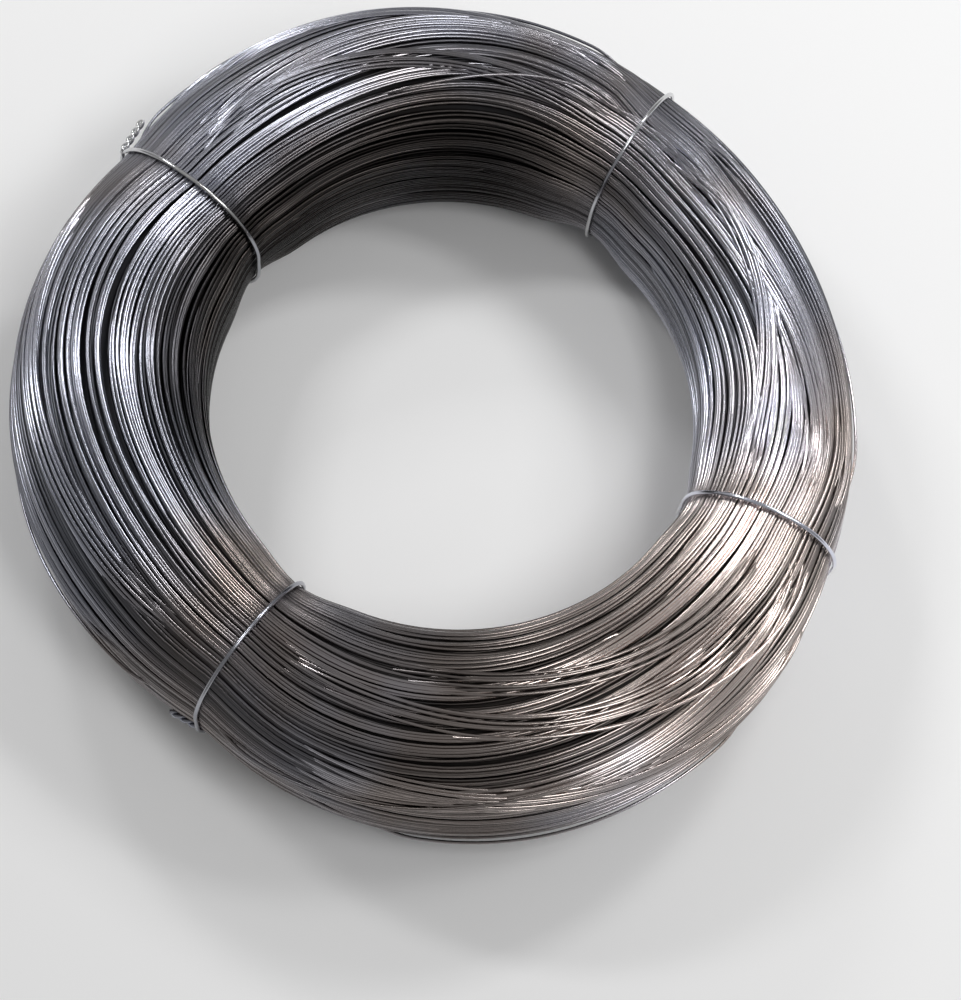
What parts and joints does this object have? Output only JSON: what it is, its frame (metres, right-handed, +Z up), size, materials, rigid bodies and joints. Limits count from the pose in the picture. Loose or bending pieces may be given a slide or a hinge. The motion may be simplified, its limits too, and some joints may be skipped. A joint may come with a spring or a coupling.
{
  "type": "coil of binding wire",
  "caption": "Coil of soft dark annealed steel binding wire, lying flat, with a round bore, held at its waists by short twisted ties of the same wire.",
  "frame": {"origin": "on the bore's axis, halfway up the coil, at the middle of its bore", "axes": "+Z up along the bore's axis, +Y away from someone at the picture's camera, +X to that person's right; the coil lies flat on the plane z = -0.050"},
  "size_m": [0.3864, 0.3932, 0.1],
  "materials": {
    "annealed_wire": "dark annealed, thin oxide with a satin sheen",
    "tie_wire": "annealed, rubbed brighter than the coil"
  },
  "bodies": {
    "root": {"wire_coil": "annealed_wire", "tie_wire_1": "tie_wire", "tie_wire_2": "tie_wire", "tie_wire_3": "tie_wire", "tie_wire_4": "tie_wire"}
  },
  "joints": []
}
